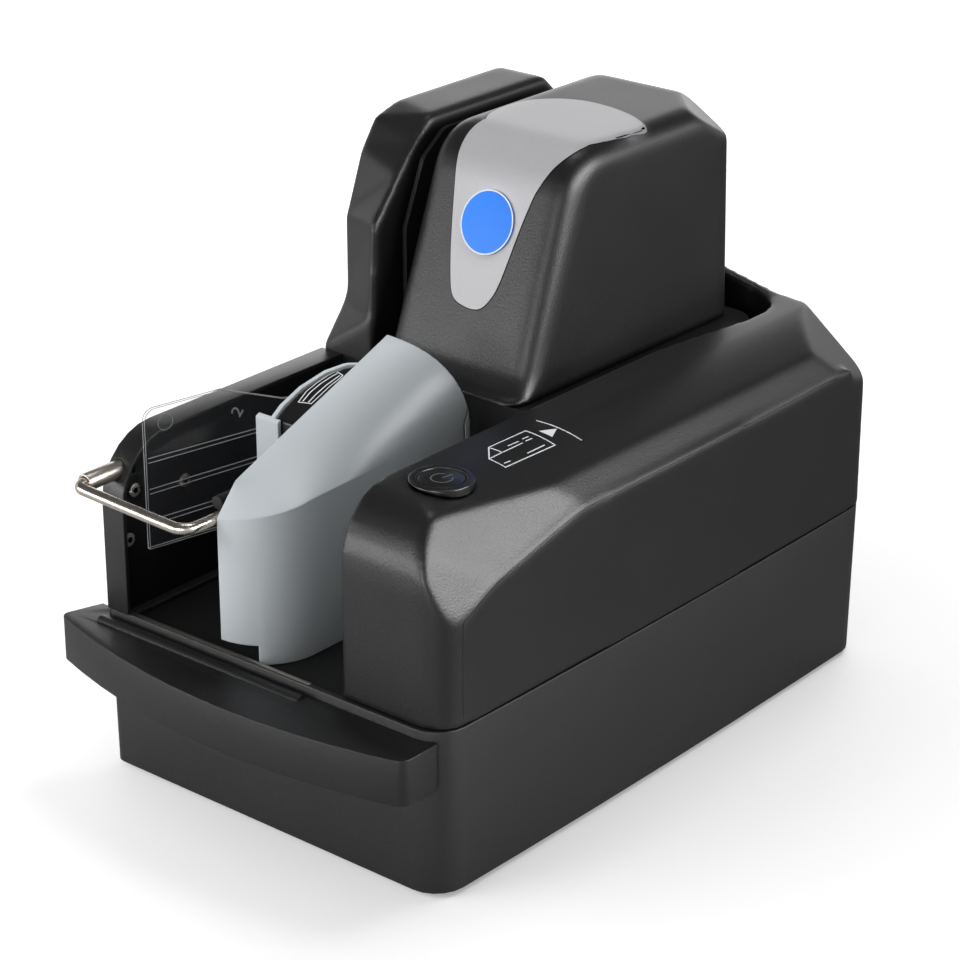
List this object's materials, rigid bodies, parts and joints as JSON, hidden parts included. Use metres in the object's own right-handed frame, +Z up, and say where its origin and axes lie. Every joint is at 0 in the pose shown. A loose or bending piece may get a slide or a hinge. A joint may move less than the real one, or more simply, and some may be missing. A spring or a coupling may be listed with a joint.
{
  "type": "cheque scanner",
  "caption": "Desktop cheque scanner: upright hopper and curved track round a tall tower, pockets with a clear divider and wire stop, power button and front tray.",
  "frame": {"origin": "middle of the part's footprint, on the surface that the feet stand on", "axes": "+X towards the side with the power button, -Y towards the front with the tray, +Z up"},
  "size_m": [0.1954, 0.3206, 0.249],
  "materials": {
    "shell": "black, finely textured, satin",
    "tub": "black, finely textured, satin",
    "inner": "black, matt",
    "grey": "light grey, smooth satin",
    "silver": "silver lacquer",
    "blue": "glossy dome",
    "steel": "bright drawn steel",
    "clear": "clear moulding",
    "rubber": "matt",
    "board": "solder mask",
    "brass": "turned"
  },
  "bodies": {
    "base": {"base_tub": "tub", "deck_plate": "inner", "transport_core": "inner", "exit_liner": "inner", "button_bezel": "inner", "button_switch": "inner", "pocket_plate": "inner", "guide_insert": "inner", "wire_collar": "inner", "front_image_reader": "inner", "rear_image_reader": "inner", "cartridge_cradle": "inner", "power_jack": "inner", "foot_1": "rubber", "foot_2": "rubber", "foot_3": "rubber", "foot_4": "rubber", "drive_belt": "rubber", "front_tray": "shell", "right_cover": "shell", "side_panel": "shell", "left_wall": "shell", "front_strip": "silver", "magnetic_reader": "silver", "switch_bracket": "steel", "pocket_screw_1": "steel", "pocket_screw_2": "steel", "pocket_screw_3": "steel", "wire_sleeve": "steel", "divider_pin": "steel", "gate_pin": "steel", "motor": "steel", "motor_bracket": "steel", "usb_port": "steel", "hopper_guide": "grey", "pocket_guide": "grey", "main_board": "board"},
    "tower_lid": {"tower_cover": "shell", "tower_inlay": "silver", "round_badge": "blue"},
    "left_lid": {"left_cover": "shell"},
    "power_key": {"power_button": "inner"},
    "cartridge": {"ink_cartridge": "inner"},
    "wire": {"wire_stop": "steel"},
    "divider": {"pocket_divider": "clear"},
    "gate": {"pocket_gate": "inner"},
    "feed_drive": {"feed_roller": "rubber", "feed_shaft": "steel", "feed_pulley": "brass"},
    "entry_drive": {"entry_drive_roller": "rubber", "entry_drive_shaft": "steel", "entry_drive_pulley": "brass"},
    "exit_drive": {"exit_drive_roller": "rubber", "exit_drive_shaft": "steel", "exit_drive_pulley": "brass"},
    "motor_drive": {"motor_pulley": "brass"},
    "retard": {"retard_roller": "inner"},
    "entry_pinch": {"entry_pinch_roller": "inner"},
    "exit_pinch": {"exit_pinch_roller": "inner"}
  },
  "joints": [
    {"name": "tower_lid_lift", "type": "slide", "parent": "base", "child": "tower_lid", "axis": [0, 0, 1], "range_m": [0, 0.08]},
    {"name": "left_lid_lift", "type": "slide", "parent": "base", "child": "left_lid", "axis": [0, 0, 1], "range_m": [0, 0.08]},
    {"name": "power_key_press", "type": "slide", "parent": "base", "child": "power_key", "axis": [0, 0, -1], "range_m": [0, 0.0012], "stiffness_N_per_m": 300, "springref_m": -0.001},
    {"name": "cartridge_lift", "type": "slide", "parent": "base", "child": "cartridge", "axis": [0, 0, 1], "range_m": [0, 0.04]},
    {"name": "wire_pull", "type": "slide", "parent": "base", "child": "wire", "axis": [0, -1, 0], "range_m": [0, 0.02]},
    {"name": "divider_swing", "type": "hinge", "parent": "base", "child": "divider", "pos_m": [-0.04262, -0.02805, 0.122], "axis": [0, 0, 1], "range_deg": [-3, 8]},
    {"name": "gate_swing", "type": "hinge", "parent": "base", "child": "gate", "pos_m": [-0.04662, -0.01505, 0.094], "axis": [0, 0, 1], "range_deg": [-6, 14]},
    {"name": "motor_spin", "type": "hinge", "parent": "base", "child": "motor_drive", "pos_m": [-0.00662, 0.07995, 0.062], "axis": [0, 0, 1], "continuous": true},
    {"name": "feed_spin", "type": "hinge", "parent": "base", "child": "feed_drive", "pos_m": [0.03118, 0.00995, 0.099], "axis": [0, 0, 1], "continuous": true},
    {"name": "entry_drive_spin", "type": "hinge", "parent": "base", "child": "entry_drive", "pos_m": [0.03398, 0.06995, 0.099], "axis": [0, 0, 1], "continuous": true},
    {"name": "exit_drive_spin", "type": "hinge", "parent": "base", "child": "exit_drive", "pos_m": [-0.03662, 0.03195, 0.099], "axis": [0, 0, 1], "continuous": true},
    {"name": "retard_spin", "type": "hinge", "parent": "base", "child": "retard", "pos_m": [0.05348, 0.00995, 0.099], "axis": [0, 0, 1], "continuous": true},
    {"name": "entry_pinch_spin", "type": "hinge", "parent": "base", "child": "entry_pinch", "pos_m": [0.05128, 0.06995, 0.099], "axis": [0, 0, 1], "continuous": true},
    {"name": "exit_pinch_spin", "type": "hinge", "parent": "base", "child": "exit_pinch", "pos_m": [-0.04992, 0.03195, 0.099], "axis": [0, 0, 1], "continuous": true}
  ],
  "couplings": [
    {"joint": "motor_spin", "follows": "feed_spin", "ratio": 1.3846},
    {"joint": "entry_drive_spin", "follows": "feed_spin", "ratio": 1},
    {"joint": "exit_drive_spin", "follows": "feed_spin", "ratio": 1}
  ]
}
